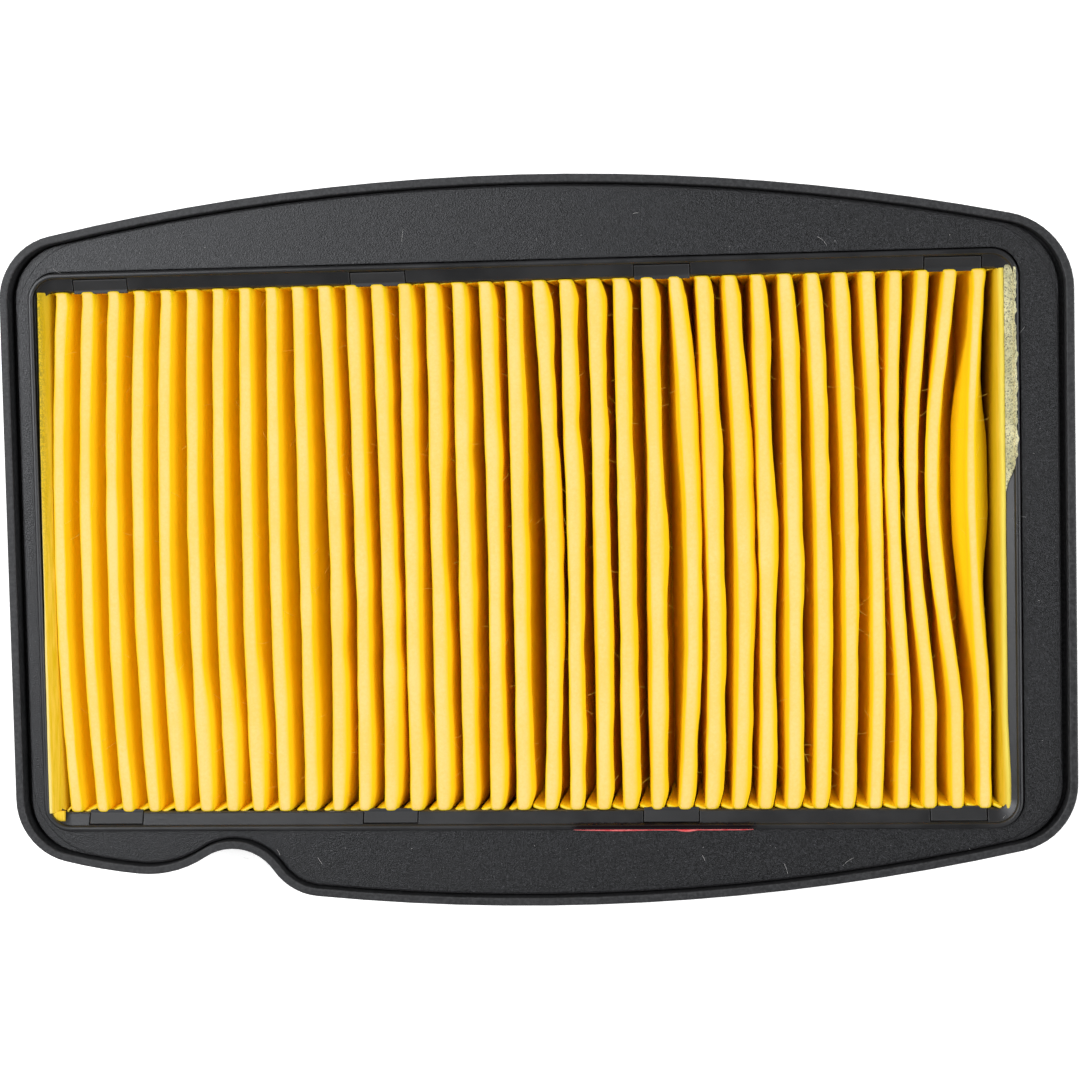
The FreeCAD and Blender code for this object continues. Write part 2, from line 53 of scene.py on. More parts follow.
media_low, media_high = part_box("pleated_media")
MEDIA_HALF_Y = (media_high.y - media_low.y) / 2 / MM
MEDIA_BOTTOM = media_low.z / MM
MEDIA_TOP = media_high.z / MM


# ---------------------------------------------------------------- helpers

def clamp(value, low=0.0, high=1.0):
    return max(low, min(high, value))


def lerp(a, b, t):
    return a + (b - a) * t


def ease(t):
    t = clamp(t)
    return t * t * (3 - 2 * t)


def wobble(seed, *place):
    """Smooth noise from -1 to 1, the same each run, at a place already divided by the wave's size."""
    x = place[0]
    y = place[1] if len(place) > 1 else 0.0
    return noise.noise(Vector((x + seed * 17.13, y - seed * 5.77, seed * 3.31 + 0.37)))


def along(points, x):
    """The height at x of the broken line through points."""
    if x <= points[0][0]:
        return points[0][1]
    for (x0, y0), (x1, y1) in zip(points, points[1:]):
        if x <= x1:
            return lerp(y0, y1, (x - x0) / (x1 - x0))
    return points[-1][1]


def to_metres(point):
    """A point of the window frame, in millimetres, as metres in the row frame."""
    return (WINDOW_X + point[0] * MM, WINDOW_Y + point[1] * MM, point[2] * MM)


def make_piece(name, points, faces, slot_name, material, *replaced):
    """A smooth mesh piece on the one body, from points in the window frame."""
    mesh = bpy.data.meshes.new(name)
    mesh.from_pydata([to_metres(p) for p in points], [], faces)
    mesh.validate()
    mesh.polygons.foreach_set("use_smooth", [True] * len(mesh.polygons))
    mesh.update()
    piece = bpy.data.objects.new(name, mesh)
    bpy.context.scene.collection.objects.link(piece)
    mesh.materials.append(material)
    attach(piece, "root")
    if replaced:
        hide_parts(*replaced)
    return piece


def grid_faces(rows, columns, first=0, flip=False):
    """Quads between neighbouring points of a grid stored row by row."""
    faces = []
    for r in range(rows - 1):
        for c in range(columns - 1):
            a = first + r * columns + c
            quad = (a, a + 1, a + columns + 1, a + columns)
            faces.append(quad[::-1] if flip else quad)
    return faces


def closed_slab(upper, lower, rows, columns):
    """One closed mesh from two grids of the same shape, sewn together along their edges."""
    count = rows * columns
    points = upper + lower
    faces = grid_faces(rows, columns)
    faces += grid_faces(rows, columns, count, flip=True)
    rim = [c for c in range(columns)]
    rim += [r * columns + columns - 1 for r in range(1, rows)]
    rim += [(rows - 1) * columns + c for c in range(columns - 2, -1, -1)]
    rim += [r * columns for r in range(rows - 2, 0, -1)]
    for a, b in zip(rim, rim[1:] + rim[:1]):
        faces.append((b, a, a + count, b + count))
    return points, faces


# ---------------------------------------------------------------- materials

# Every piece's own origin is the row frame's, so the Object coordinates that the finishes
# use are metres in the row frame, with Z from the ground.

class Tree:
    """A material's node tree, with one call per kind of node the finishes need."""

    def __init__(self, name):
        self.material = bpy.data.materials.new(name)
        self.material.use_nodes = True
        self.nodes = self.material.node_tree.nodes
        self.links = self.material.node_tree.links
        self.shader = self.nodes["Principled BSDF"]
        self.place = self.add("ShaderNodeTexCoord").outputs["Object"]

    def add(self, kind, inputs=None, **settings):
        node = self.nodes.new(kind)
        for name, value in settings.items():
            setattr(node, name, value)
        for name, value in (inputs or {}).items():
            self.put(node.inputs[name], value)
        return node

    def put(self, socket, value):
        if isinstance(value, bpy.types.NodeSocket):
            self.links.new(value, socket)
        else:
            socket.default_value = value

    def stretched(self, scale):
        return self.add("ShaderNodeMapping", {"Vector": self.place, "Scale": scale}).outputs[0]

    def noise(self, scale, detail=3.0, rough=0.55, place=None, distortion=0.0):
        inputs = {
            "Vector": place or self.place,
            "Scale": scale,
            "Detail": detail,
            "Roughness": rough,
            "Distortion": distortion,
        }
        return self.add("ShaderNodeTexNoise", inputs).outputs["Fac"]

    def cells(self, scale, place=None, feature="F1"):
        inputs = {"Vector": place or self.place, "Scale": scale}
        return self.add("ShaderNodeTexVoronoi", inputs, feature=feature).outputs["Distance"]

    def span(self, value, low, high, to_low=0.0, to_high=1.0):
        inputs = {
            "Value": value,
            "From Min": low,
            "From Max": high,
            "To Min": to_low,
            "To Max": to_high,
        }
        return self.add("ShaderNodeMapRange", inputs).outputs["Result"]

    def math(self, operation, a, b=0.0):
        node = self.add("ShaderNodeMath", operation=operation)
        self.put(node.inputs[0], a)
        self.put(node.inputs[1], b)
        return node.outputs[0]

    def axis(self, letter, place=None):
        node = self.add("ShaderNodeSeparateXYZ", {"Vector": place or self.place})
        return node.outputs[letter]

    def blend(self, factor, a, b):
        """A mix of two colours. Inputs 6 and 7 and output 2 are the Mix node's colour sockets."""
        node = self.add("ShaderNodeMix", data_type="RGBA")
        self.put(node.inputs[0], factor)
        self.put(node.inputs[6], a)
        self.put(node.inputs[7], b)
        return node.outputs[2]

    def edge_normal(self, radius):
        return self.add("ShaderNodeBevel", {"Radius": radius}, samples=4).outputs["Normal"]

    def edge_mask(self, radius, sharpest=0.75):
        """1 at sharp edges and 0 on open faces: how far the rounded normal leans from the true one."""
        rounded = self.edge_normal(radius)
        true = self.add("ShaderNodeNewGeometry").outputs["True Normal"]
        node = self.add("ShaderNodeVectorMath", operation="DOT_PRODUCT")
        self.put(node.inputs[0], rounded)
        self.put(node.inputs[1], true)
        return self.span(node.outputs["Value"], 0.995, sharpest)

    def bump(self, height, strength, distance, normal=None):
        inputs = {"Height": height, "Strength": strength, "Distance": distance}
        if normal is not None:
            inputs["Normal"] = normal
        return self.add("ShaderNodeBump", inputs).outputs["Normal"]

    def finish(self, colour, roughness, normal, **constants):
        self.put(self.shader.inputs["Base Color"], colour)
        self.put(self.shader.inputs["Roughness"], roughness)
        self.put(self.shader.inputs["Normal"], normal)
        for name, value in constants.items():
            self.shader.inputs[name.replace("_", " ")].default_value = value
        return self.material


COOL = (0.94, 0.96, 1.0, 1.0)  # the black plastics' gloss
# The felt's green deep in the folds, as a multiple of its walls'. Light that bounces many
# times between the walls would turn red there without it.
DEEP_GREEN = 1.26


def grey(level, blue=1.06):
    return (level, level, level * blue, 1.0)


def felt(name="filter_felt", crest=(0.945, 0.67, 0.225, 1.0), wall=(0.955, 0.665, 0.010, 1.0)):
    """Needled felt: deep yellow walls, made greener deeper in the folds as a painted offset for bounced
    light, and pale where it faces up near the top, which is a painted highlight; matted fibres.
    """
    tree = Tree(name)
    top = MEDIA_TOP * MM
    matted = tree.noise(1500.0, 5.0, 0.75)
    fibres = tree.noise(1.0, 3.0, 0.6, tree.stretched((3200.0, 900.0, 1500.0)), 1.5)
    clouds = tree.noise(70.0, 3.0, 0.5)
    height = tree.math("ADD", tree.math("MULTIPLY", matted, 0.6), tree.math("MULTIPLY", fibres, 0.5))
    ragged = tree.math("MULTIPLY", tree.math("SUBTRACT", matted, 0.5), 0.0009)
    level = tree.math("ADD", tree.axis("Z"), ragged)
    # Painted highlight: the pale crest colour goes where the felt is near the top and faces up.
    high_up = tree.span(level, top - 0.0030, top - 0.0010)
    facing = tree.axis("Z", tree.add("ShaderNodeNewGeometry").outputs["Normal"])
    painted_highlight = tree.math("MULTIPLY", high_up, tree.span(facing, 0.72, 0.96))
    tone = tree.math("ADD", tree.math("MULTIPLY", matted, 0.55), tree.math("MULTIPLY", clouds, 0.45))
    # Painted offset for bounced light: the walls' green rises deeper in the folds.
    deep = tree.span(tree.axis("Z"), top - 0.0015, top - 0.0090)
    glowing = tree.blend(deep, wall, (wall[0], wall[1] * DEEP_GREEN, wall[2], 1.0))
    deep_crest = (crest[0] * 0.985, crest[1] * 0.93, crest[2] * 0.68, 1.0)
    spread = tree.span(tone, 0.42, 0.58)
    colour = tree.blend(painted_highlight, glowing, tree.blend(spread, deep_crest, crest))
    normal = tree.bump(height, 0.35, 0.00025)
    roughness = tree.span(fibres, 0.3, 0.7, 0.82, 0.97)
    return tree.finish(
        colour,
        roughness,
        normal,
        Specular_IOR_Level=0.1,
        Sheen_Weight=0.02,
        Sheen_Roughness=0.5,
        Sheen_Tint=(1.0, 0.75, 0.20, 1.0),
    )


def flap_felt():
    """The felt of the end flaps: golden, browner lower down, which is painted shade, and lemon near the
    right one's top, which is a painted highlight; pale along the top edge, and soiled at the back of the
    left one."""
    tree = Tree("flap_felt")
    matted = tree.noise(1500.0, 5.0, 0.75)
    lengthwise = tree.noise(1.0, 3.0, 0.6, tree.stretched((2600.0, 120.0, 700.0)), 0.4)
    dirt = tree.noise(2400.0, 5.0, 0.75)
    height = tree.math("ADD", tree.math("MULTIPLY", matted, 0.6), tree.math("MULTIPLY", lengthwise, 0.5))
    rise = tree.axis("Z")
    streaks = tree.span(lengthwise, 0.35, 0.65)
    streaked = tree.blend(streaks, (0.76, 0.50, 0.012, 1.0), (0.90, 0.61, 0.06, 1.0))
    # Painted shade: the flap goes browner from 26.4 mm down to 23.4 mm above the ground.
    uneven_rise = tree.math("ADD", rise, tree.math("MULTIPLY", lengthwise, 0.0006))
    lit = tree.span(uneven_rise, 0.0234, 0.0264)
    painted_shade_below = tree.blend(lit, (0.58, 0.41, 0.006, 1.0), streaked)
    away = tree.math("ABSOLUTE", tree.math("SUBTRACT", tree.axis("X"), WINDOW_X))
    # Painted highlight: the right flap turns lemon near its top, between 25.2 and 26.2 mm.
    right_edge = tree.math("MULTIPLY", tree.span(tree.axis("X"), 0.0, 0.01), tree.span(rise, 0.0252, 0.0262))
    lemon = tree.blend(right_edge, painted_shade_below, (0.88, 0.73, 0.13, 1.0))
    edged = tree.blend(tree.span(away, 0.08885, 0.08905), lemon, (0.88, 0.71, 0.24, 1.0))
    leftward = tree.span(tree.axis("X"), WINDOW_X - 0.0850, WINDOW_X - 0.0865)
    backward = tree.math("MULTIPLY", tree.span(tree.axis("Y"), -0.010, 0.042), leftward)
    aged = tree.blend(tree.math("MULTIPLY", backward, 0.60), edged, (0.64, 0.47, 0.012, 1.0))
    outer = tree.span(tree.axis("X"), WINDOW_X - 0.0876, WINDOW_X - 0.0889)
    specks = tree.math("MULTIPLY", tree.span(dirt, 0.46, 0.54), tree.math("MULTIPLY", backward, outer))
    colour = tree.blend(tree.math("MULTIPLY", specks, 0.9), aged, (0.06, 0.065, 0.04, 1.0))
    normal = tree.bump(height, 0.35, 0.00025)
    roughness = tree.span(matted, 0.3, 0.7, 0.82, 0.97)
    return tree.finish(colour, roughness, normal, Specular_IOR_Level=0.1)


def plate_plastic():
    """Spark-eroded black plastic: fine pits, cloudy gloss and edges rubbed a little paler."""
    tree = Tree("plate_plastic")
    grain = tree.noise(5000.0, 2.0, 0.9)
    sparkle = tree.noise(2700.0, 3.0, 0.85)
    pits = tree.cells(4200.0)
    specks = tree.noise(3300.0, 1.0, 0.5)
    clouds = tree.noise(75.0, 4.0, 0.6)
    blotches = tree.noise(1500.0, 4.0, 0.75)
    edge = tree.edge_mask(0.0004)
    height = tree.math("ADD", tree.math("MULTIPLY", grain, 0.7), tree.math("MULTIPLY", pits, 0.5))
    normal = tree.bump(height, 1.0, 0.00006, tree.edge_normal(0.0003))
    speckled = tree.blend(tree.span(sparkle, 0.42, 0.62), grey(0.002), grey(0.024, 1.15))
    mottled = tree.blend(tree.span(blotches, 0.40, 0.60), grey(0.004), speckled)
    cloudy = tree.blend(tree.span(clouds, 0.35, 0.65, 0.0, 0.3), mottled, grey(0.010, 1.1))
    dusty = tree.blend(tree.span(specks, 0.72, 0.78, 0.0, 0.7), cloudy, grey(0.10))
    colour = tree.blend(tree.math("MULTIPLY", edge, 0.45), dusty, grey(0.05))
    roughness = tree.span(sparkle, 0.40, 0.60, 0.28, 0.45)
    return tree.finish(colour, roughness, normal, Specular_IOR_Level=0.5, Specular_Tint=COOL)


def seal_rubber():
    """Matt black rubber with a fine grain and a dusty bloom."""
    tree = Tree("seal_rubber")
    grain = tree.noise(1800.0, 4.0, 0.65)
    bloom = tree.noise(55.0, 4.0, 0.6)
    edge = tree.edge_mask(0.0004)
    normal = tree.bump(grain, 0.30, 0.00012, tree.edge_normal(0.0003))
    base = tree.blend(tree.span(bloom, 0.35, 0.65), grey(0.006), grey(0.014))
    speckled = tree.blend(tree.span(grain, 0.42, 0.64), base, grey(0.032))
    colour = tree.blend(tree.math("MULTIPLY", edge, 0.35), speckled, grey(0.08))
    roughness = tree.span(bloom, 0.3, 0.7, 0.46, 0.60)
    return tree.finish(colour, roughness, normal, Specular_IOR_Level=0.5, Specular_Tint=COOL)


def bezel_plastic():
    """The smoother moulding round the window, with fine scuffs, a worn bead, and a clear dark film
    of paint on the bead beside the mark."""
    tree = Tree("bezel_plastic")
    grain = tree.noise(1500.0, 4.0, 0.6)
    scuffs = tree.noise(1.0, 4.0, 0.6, tree.stretched((260.0, 1900.0, 700.0)), 0.4)
    clouds = tree.noise(90.0, 3.0, 0.55)
    edge = tree.edge_mask(0.0004)
    height = tree.math("ADD", tree.math("MULTIPLY", grain, 0.6), tree.math("MULTIPLY", scuffs, 0.4))
    normal = tree.bump(height, 0.22, 0.00010, tree.edge_normal(0.0003))
    base = tree.blend(tree.span(clouds, 0.35, 0.65), grey(0.009), grey(0.018))
    worn = tree.blend(tree.math("MULTIPLY", edge, 0.5), base, grey(0.08))
    mark_low, mark_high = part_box("inspection_mark")
    ragged = tree.math("MULTIPLY", tree.math("SUBTRACT", grain, 0.5), 0.0006)
    along_bead = tree.math("ADD", tree.axis("X"), tree.math("MULTIPLY", ragged, 3.0))
    starts = tree.span(along_bead, mark_low.x - 0.0010, mark_low.x + 0.0010)
    stops = tree.span(along_bead, mark_high.x + 0.0010, mark_high.x - 0.0010)
    across_bead = tree.math("ADD", tree.axis("Y"), ragged)
    film = tree.math("MULTIPLY", starts, stops)
    film = tree.math("MULTIPLY", film, tree.span(across_bead, mark_low.y + 0.0016, mark_low.y + 0.0014))
    colour = tree.blend(film, worn, (0.006, 0.002, 0.003, 1.0))
    matt = tree.span(clouds, 0.3, 0.7, 0.27, 0.42)
    roughness = tree.math("SUBTRACT", matt, tree.math("MULTIPLY", film, 0.15))
    return tree.finish(colour, roughness, normal, Specular_IOR_Level=0.5, Specular_Tint=COOL)


def tray_plastic():
    """The tray's moulded black plastic, with flow lines and edges a little paler."""
    tree = Tree("tray_plastic")
    grain = tree.noise(1400.0, 4.0, 0.6)
    flow = tree.noise(1.0, 3.0, 0.5, tree.stretched((40.0, 40.0, 260.0)), 0.6)
    edge = tree.edge_mask(0.0004)
    height = tree.math("ADD", tree.math("MULTIPLY", grain, 0.7), tree.math("MULTIPLY", flow, 0.3))
    normal = tree.bump(height, 0.20, 0.00012, tree.edge_normal(0.0003))
    base = tree.blend(tree.span(flow, 0.35, 0.65), grey(0.009), grey(0.018))
    colour = tree.blend(tree.math("MULTIPLY", edge, 0.5), base, grey(0.08))
    roughness = tree.span(flow, 0.3, 0.7, 0.38, 0.55)
    return tree.finish(colour, roughness, normal, Specular_IOR_Level=0.5, Specular_Tint=COOL)


def glue():
    """Hot-melt adhesive stained yellow by the felt: olive brown, glossy, lumpy."""
    tree = Tree("adhesive")
    lumps = tree.noise(600.0, 3.0, 0.5)
    smears = tree.noise(140.0, 4.0, 0.6)
    colour = tree.blend(tree.span(smears, 0.35, 0.65), (0.020, 0.014, 0.006, 1.0), (0.10, 0.066, 0.014, 1.0))
    normal = tree.bump(lumps, 0.5, 0.0004)
    roughness = tree.span(lumps, 0.3, 0.7, 0.25, 0.5)
    return tree.finish(colour, roughness, normal, Specular_IOR_Level=0.5)


def foam():
    """Adhesive that foamed as it came out over the ledge: pale, porous, dusty."""
    tree = Tree("foamed_adhesive")
    pores = tree.cells(1700.0)
    fine = tree.noise(3000.0, 3.0, 0.6)
    stain = tree.noise(260.0, 4.0, 0.65)
    body = tree.blend(tree.span(stain, 0.38, 0.62), (0.56, 0.54, 0.31, 1.0), (0.84, 0.80, 0.50, 1.0))
    pale = tree.blend(tree.span(fine, 0.38, 0.50, 0.8, 0.0), body, (0.22, 0.22, 0.17, 1.0))
    colour = tree.blend(tree.span(pores, 0.08, 0.32, 0.92, 0.0), pale, (0.07, 0.07, 0.06, 1.0))
    height = tree.math("ADD", tree.math("MULTIPLY", pores, 0.8), tree.math("MULTIPLY", fine, 0.3))
    normal = tree.bump(height, 0.8, 0.0004)
    roughness = tree.span(fine, 0.3, 0.7, 0.75, 0.95)
    return tree.finish(colour, roughness, normal, Specular_IOR_Level=0.25)


def marking_paint():
    """Red marking paint put on with a brush: thin at its ends, thicker in drops."""
    tree = Tree("marking_paint")
    streaks = tree.noise(1.0, 4.0, 0.6, tree.stretched((500.0, 2600.0, 2600.0)), 0.4)
    colour = tree.blend(tree.span(streaks, 0.35, 0.65), (0.82, 0.060, 0.075, 1.0), (0.97, 0.25, 0.25, 1.0))
    normal = tree.bump(streaks, 0.4, 0.0002)
    roughness = tree.span(streaks, 0.3, 0.7, 0.16, 0.35)
    return tree.finish(colour, roughness, normal, Specular_IOR_Level=0.5)


def lint(name, colour_a, colour_b):
    """Single stray fibres, a little uneven in colour."""
    tree = Tree(name)
    uneven = tree.noise(900.0, 2.0, 0.5)
    colour = tree.blend(uneven, colour_a, colour_b)
    normal = tree.bump(uneven, 0.2, 0.0001)
    return tree.finish(colour, tree.span(uneven, 0.3, 0.7, 0.5, 0.7), normal, Specular_IOR_Level=0.4)


def floor_paper():
    """Plain pale studio paper with a faint tooth."""
    tree = Tree("floor_paper")
    tooth = tree.noise(700.0, 3.0, 0.5)
    colour = tree.blend(tooth, (0.93, 0.93, 0.93, 1.0), (0.96, 0.96, 0.96, 1.0))
    normal = tree.bump(tooth, 0.1, 0.0001)
    material = tree.finish(colour, tree.span(tooth, 0.3, 0.7, 0.9, 0.96), normal, Specular_IOR_Level=0.1)
    tree.shader.inputs["Emission Color"].default_value = (1.0, 1.0, 1.0, 1.0)
    tree.shader.inputs["Emission Strength"].default_value = 0.6
    return material


# ---------------------------------------------------------------- pleats

PLEATS = 35
MIDDLE_PLEAT = (PLEATS + 1) / 2
PITCH = 4.9
SHEET = 1.1  # the felt's thickness
SLIT = 0.06  # half the space left inside a closed fold
CREST_HALF = 1.16  # half a crest's width, over both its walls
VALLEY_HALF = 1.15  # half a valley fold's width, over both its walls
CREST_ROUND = 0.85  # how far the crest's rounding reaches down
CREST_STEPS = 10
VALLEY_STEPS = 4
CREST_SQUARENESS = 0.82  # 1 is a round fold, less is squarer
VALLEY_SQUARENESS = 0.7
SHOULDER_DROP = 0.95  # how steeply a shoulder slopes down as it opens
FLAP_TOP = 24.5
FAN = 0.042  # how much wider than even the crests are spaced
SHIFT = -0.36  # how far to the right of even spacing all the crests lie
BOW_MIDDLE = -6.0
BOW_REACH_BACK = 52.0
BOW_REACH_FRONT = 44.0
PINCH_MIDDLE = 10.0
PINCH_REACH = 41.0
PINCHED_FROM = 31  # from this pleat on they are pinched together, and hardly slope at the shoulder
FELT_HALF_Y = MEDIA_HALF_Y + 1.1  # the felt runs over the tray's rest at both ends

# How far each pleat's crest bows sideways at its middle, by pleat number, as the photo shows it.
BOWS = [
    (1, -2.0), (5, -1.7), (6, -1.2), (8, -0.9), (9, -0.6), (10, 0.0), (11, 0.8), (13, 0.5),
    (14, 0.0), (16, 0.1), (17, 0.6), (18, 0.2), (19, 1.5), (20, 0.4), (21, 0.5), (22, -0.1),
    (23, 0.6), (24, 2.3), (25, 1.2), (26, 1.6), (27, 0.8), (29, 1.1), (31, 1.3), (32, 0.9),
    (33, 0.3), (35, 0.0),
]
# The tighter pinch of the last pleats, further back.
PINCHES = [(30, 0.0), (31, -0.3), (32, -1.9), (33, -2.9), (34, -4.0), (35, -1.9)]


def bell(y, middle, half, power=1.0):
    """1 at the middle, falling to 0 half a width away."""
    away = abs(y - middle) / half
    if away >= 1:
        return 0.0
    return math.cos(math.pi / 2 * away) ** power


def crest_bow(number, y):
    """The sideways shift of a crest from even spacing, at y."""
    lean = FAN * (number - MIDDLE_PLEAT) + SHIFT
    half = BOW_REACH_BACK if y > BOW_MIDDLE else BOW_REACH_FRONT
    bow = along(BOWS, number) * bell(y, BOW_MIDDLE, half, 0.8)
    pinch = along(PINCHES, number) * bell(y, PINCH_MIDDLE, PINCH_REACH, 1.3)
    wave = 0.16 * wobble(number, y / 17.0) * bell(y, 0.0, 50.0, 0.5)
    return lean + bow + pinch + wave


def shoulder(number, y):
    """How far a pleat's right shoulder slopes out beyond its crest.
    It's most on the pleats right of the middle."""
    if number >= PINCHED_FROM:
        return 0.15
    most = lerp(0.20, 0.80, ease((number - 7) / 9)) * (1 - 0.6 * ease((number - 27) / 4))
    uneven = 1 + 0.9 * wobble(number + 400, y / 26.0) + 0.35 * wobble(number + 440, y / 8.0)
    return most * max(0.0, uneven) * clamp((FELT_HALF_Y - abs(y)) / 4.0 + 0.2)


def flare(number, y):
    """The right shoulder's slope, wider near the front end of the pleats left of the middle."""
    if not 4 <= number <= 16:
        return shoulder(number, y)
    most = along([(4, 0.3), (5, 1.3), (8, 1.0), (9, 0.5), (12, 0.35), (16, 0.0)], number)
    return shoulder(number, y) + most * bell(y, -34.0 + 3.0 * wobble(number, 0.3), 15.0, 1.2)


def swelling(y, starts, full, fades, ends):
    """0 outside starts and ends, 1 between full and fades. The places run from back to front."""
    return ease((starts - y) / (starts - full)) * ease((y - ends) / (fades - ends))


def toe(y):
    """0 at the pleats' very ends, rounding up to 1 within a millimetre of them."""
    end = clamp(FELT_HALF_Y - abs(y))
    return math.sqrt(1 - (1 - end) ** 2)


def squared(value, squareness):
    """A sine or cosine, bent so that the round it draws is squarer."""
    return math.copysign(abs(value) ** squareness, value)


def crest_half(number, y):
    """Half the crest's width, a little uneven, and drawn in round the toes."""
    half = CREST_HALF + 0.14 * wobble(number + 50, y / 12.0) + 0.08 * wobble(number + 90, y / 4.0)
    return half * (0.75 + 0.25 * toe(y))


def crest_top(number, y):
    """The crest's height, which drops round the toe at each end."""
    top = MEDIA_TOP - 0.12 + 0.11 * wobble(number + 130, y / 15.0)
    return top - 0.38 * (1 - toe(y))


def crest_points(number, y):
    """(dirty side, clean side) pairs over a crest, left to right."""
    middle = (number - MIDDLE_PLEAT) * PITCH + crest_bow(number, y)
    half = crest_half(number, y)
    top = crest_top(number, y)
    opened = flare(number, y)
    hook = 0.40 * ease((y - FELT_HALF_Y + 0.7) / 0.6)
    tilt = -0.05 * crest_bow(number, y) + 0.05 * wobble(number + 170, y / 20.0)
    drop = CREST_ROUND + 0.25 * wobble(number + 210, y / 18.0)
    if number == PLEATS:
        drop += 1.3 * swelling(y, 39.0, 22.0, -4.0, -26.0)
        half -= 0.25 * swelling(y, 48.0, 44.0, 36.0, 26.0)
    pairs = []
    for step in range(CREST_STEPS + 1):
        angle = math.pi * (1 - step / CREST_STEPS)
        side = squared(math.cos(angle), CREST_SQUARENESS)
        rise = abs(squared(math.sin(angle), CREST_SQUARENESS))
        right = max(0.0, side)
        sloped = SHOULDER_DROP * opened * right ** 2
        outer_x = middle + half * side + opened * right - hook * max(0.0, -side)
        outer_z = top - drop + drop * rise + tilt * half * side - sloped
        inner_x = middle + max(SLIT, half - SHEET) * math.cos(angle) + opened * right * 0.9
        inner_z = top - SHEET - 0.05 + SLIT * math.sin(angle) - sloped
        pairs.append(((outer_x, outer_z), (inner_x, inner_z)))
    return pairs


def valley_points(place):
    """(dirty side, clean side) pairs over a valley fold, left to right."""
    middle = (place - MIDDLE_PLEAT) * PITCH
    round_height = 0.9
    pairs = []
    for step in range(VALLEY_STEPS + 1):
        angle = math.pi * (1 - step / VALLEY_STEPS)
        side = squared(math.cos(angle), VALLEY_SQUARENESS)
        rise = abs(squared(math.sin(angle), VALLEY_SQUARENESS))
        inner = (middle + SLIT * math.cos(angle), MEDIA_BOTTOM + SHEET - SLIT * math.sin(angle))
        outer = (middle + VALLEY_HALF * side, MEDIA_BOTTOM + round_height * (1 - rise))
        pairs.append((inner, outer))
    return pairs


def wall_points(start, end, bulge, steps=7, high=1.0):
    """Pairs along a pleat's wall, from the pair it leaves to the pair it reaches.
    high below 1 brings the widest part of the bulge nearer the start."""
    pairs = []
    for step in range(1, steps):
        t = step / steps
        out = bulge * math.sin(math.pi * t ** high)
        both = []
        for a, b in zip(start, end):
            both.append((lerp(a[0], b[0], t) + out, lerp(a[1], b[1], t)))
        pairs.append(tuple(both))
    return pairs


def left_flap(y, reach):
    """Pairs of the left end flap, whose top stands over the ledge, down to the valley pair
    it comes from. A pair is (x, z) in the window frame, once for each side of the felt."""
    over = along([(-40, 0.42), (-8, 0.12), (20, -0.15), (47, -0.45)], y) + 0.07 * wobble(4, y / 14.0)
    lift = 0.10 * wobble(9, y / 9.0)
    thin = 0.08 * wobble(14, y / 2.5)
    lean = crest_points(1, y)[0][0][0] + 0.95
    inner_x = min(-86.85, lean - 0.9)
    pairs = [
        ((-88.95 - over, 27.30 + lift), (-89.10 - over, 27.05 + lift)),
        ((-88.70 - over + thin, 27.26 + lift), (-89.05 - over, 26.85 + lift)),
        ((-88.30 - over * 0.8 + thin, 26.75 + lift), (-88.75 - over * 0.8, 26.35)),
        ((-87.85 - over * 0.4, 26.15), (-88.30 - over * 0.4, 26.05)),
        ((-87.40, 25.55), (-87.85, 25.72)),
        ((min(-87.10, inner_x - 0.1), 24.9), (-87.70, 25.1)),
    ]
    corner = ((inner_x, 24.0), (-87.66, 24.1))
    pairs.append(corner)
    return pairs + wall_points(corner, reach, 0.0, 9)


def right_flap(y, reach):
    """Pairs of the right end flap, which stands against the tray wall, from its top edge down."""
    over = 0.55 * ease((-30 - y) / 18) + 0.08 * wobble(5, y / 12.0)
    top = 26.05 + 0.12 * wobble(10, y / 8.0)
    thin = 0.07 * wobble(15, y / 2.5)
    pairs = [
        ((87.30 + over + thin, top), (87.90 + over, top - 0.10)),
        ((87.08 + over, top - 0.25), (87.98 + over, top - 0.35)),
        ((86.75 + over * 0.6, top - 0.9), (87.72 + over * 0.2, top - 0.9)),
    ]
    corner = ((86.20, top - 2.9), (87.60, top - 2.9))
    pairs.append(corner)
    return pairs + wall_points(corner, reach, -0.9, 9)


def wall_bulges(number, y):
    """(left, right) bulge of a pleat's two walls, and how high up they are."""
    undercut = ease((number - 15) / 5)
    left = 0.25 * wobble(number + 260, y / 22.0) - 0.75 * undercut * max(0.0, wobble(number * 3, y / 40.0))
    right = 0.25 * wobble(number + 310, y / 22.0) - 0.55 * undercut
    if number == PLEATS:
        left = -2.0 * swelling(y, 40.0, 20.0, 2.0, -26.0)
        right = 0.25 + 1.4 * swelling(y, 30.0, 16.0, 6.0, -10.0)
        return left, right, 0.42
    return left, right, lerp(0.8, 0.55, undercut)


def section(y):
    """The whole folded sheet's section at y, as (dirty side, clean side) pairs from left to right."""
    valleys = [valley_points(n + 0.5) for n in range(PLEATS + 1)]
    pairs = left_flap(y, valleys[0][0])
    for number in range(1, PLEATS + 1):
        left, right, high = wall_bulges(number, y)
        crest = crest_points(number, y)
        pairs += valleys[number - 1]
        pairs += wall_points(crest[0], valleys[number - 1][-1], left, high=high)[::-1]
        pairs += crest
        pairs += wall_points(crest[-1], valleys[number][0], right, high=high)
    pairs += valleys[PLEATS]
    return pairs + right_flap(y, valleys[PLEATS][-1])[::-1]


def row_places():
    """The sections' places along the pleats, closer together at the ends."""
    near_end = [0.0, 0.12, 0.35, 0.7, 1.15, 1.7, 2.5, 3.6]
    inner = FELT_HALF_Y - 5.0
    count = 64
    middle = [lerp(-inner, inner, n / count) for n in range(count + 1)]
    front = [-FELT_HALF_Y + d for d in near_end]
    back = [FELT_HALF_Y - d for d in reversed(near_end)]
    return front + middle + back


